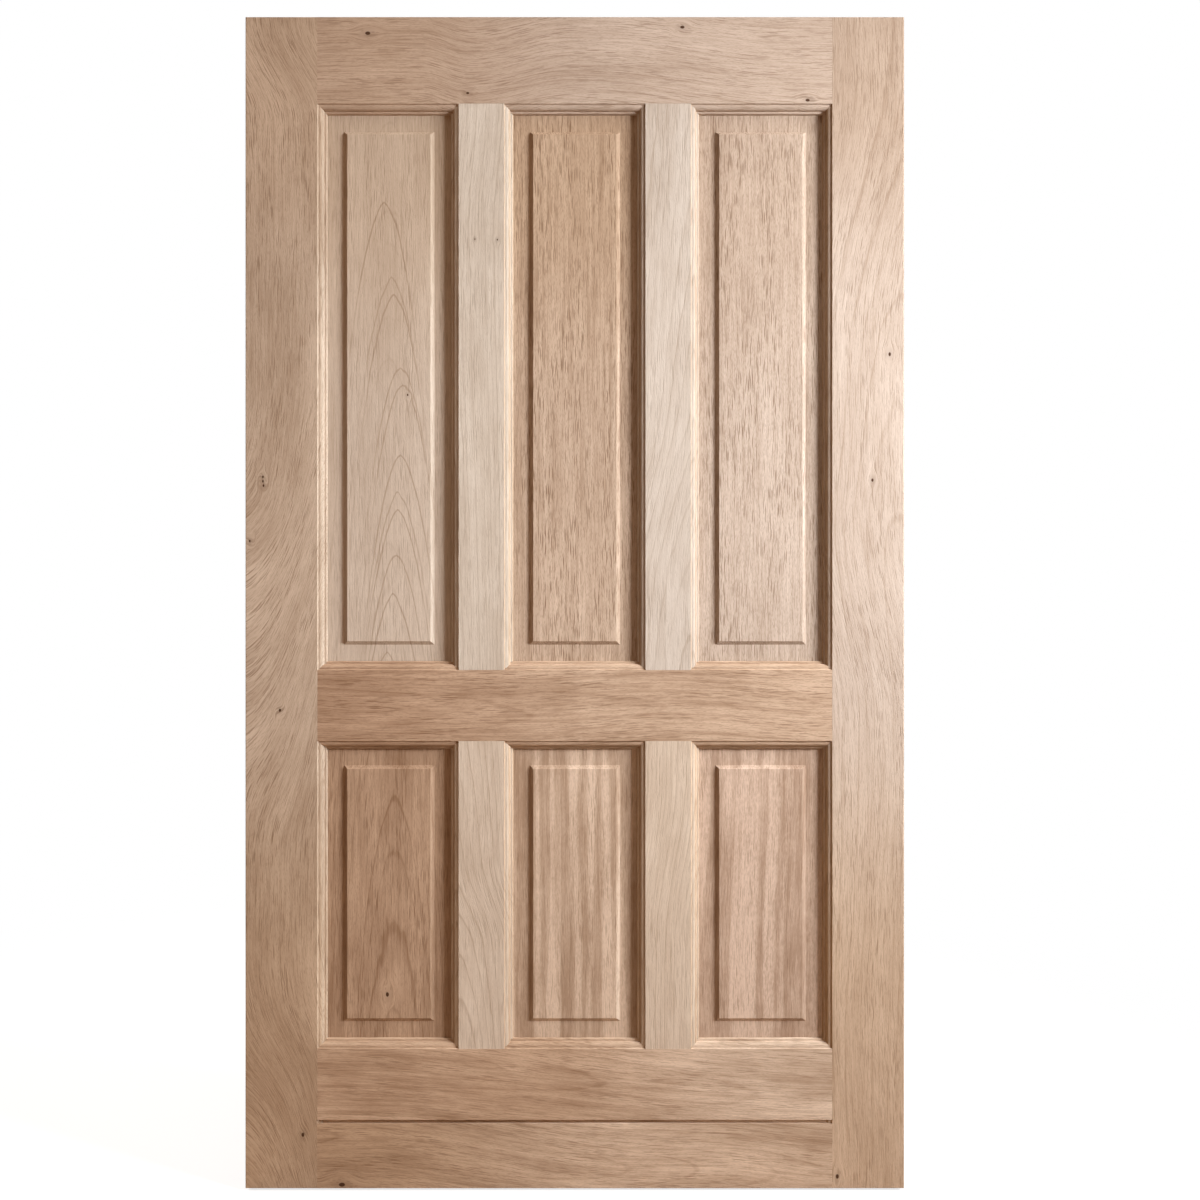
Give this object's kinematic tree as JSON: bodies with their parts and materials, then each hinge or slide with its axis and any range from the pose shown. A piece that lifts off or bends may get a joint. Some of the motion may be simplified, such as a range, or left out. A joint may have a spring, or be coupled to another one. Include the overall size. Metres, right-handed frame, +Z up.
{
  "type": "pivot door",
  "caption": "Panelled timber door leaf with raised panels in a moulded frame, hung on a concealed floor pivot and head pivot and swinging both ways.",
  "frame": {"origin": "on the pivot axis, at the underside of the floor plate", "axes": "+X along the door from the pivot to the far edge, +Y through the leaf from its front to its back, +Z up along the pivot axis"},
  "size_m": [1.2, 0.044, 2.146],
  "materials": {
    "left_stile_wood": "bare planed hardwood, tan brown",
    "right_stile_wood": "bare planed hardwood, pale pink tan",
    "rail_wood": "bare planed hardwood, tan",
    "mullion_wood": "bare planed hardwood, pale cream",
    "panel_wood": "bare planed hardwood, pinkish tan",
    "tenon_wood": "bare hardwood",
    "pivot_steel": "satin stainless steel",
    "bearing_bronze": "machined bronze"
  },
  "bodies": {
    "fixings": {"floor_plate": "pivot_steel", "floor_spindle": "pivot_steel", "head_plate": "pivot_steel", "head_bush": "bearing_bronze"},
    "leaf": {"left_stile": "left_stile_wood", "right_stile": "right_stile_wood", "top_rail": "rail_wood", "middle_rail": "rail_wood", "bottom_rail_upper_board": "rail_wood", "bottom_rail_lower_board": "rail_wood", "upper_left_mullion": "mullion_wood", "upper_right_mullion": "mullion_wood", "lower_left_mullion": "mullion_wood", "lower_right_mullion": "mullion_wood", "upper_left_panel": "panel_wood", "upper_middle_panel": "panel_wood", "upper_right_panel": "panel_wood", "lower_left_panel": "panel_wood", "lower_middle_panel": "panel_wood", "lower_right_panel": "panel_wood", "top_rail_tenons": "tenon_wood", "middle_rail_tenons": "tenon_wood", "bottom_rail_tenons": "tenon_wood", "mullion_tenons": "tenon_wood", "bottom_shoe": "pivot_steel", "shoe_bush": "bearing_bronze", "thrust_disc": "bearing_bronze", "top_pin_plate": "pivot_steel", "top_pin": "pivot_steel", "plate_screws": "pivot_steel"}
  },
  "joints": [
    {"name": "leaf_swing", "type": "hinge", "parent": "fixings", "child": "leaf", "pos_m": [0, 0, 0], "axis": [0, 0, 1], "range_deg": [-90, 90]}
  ]
}
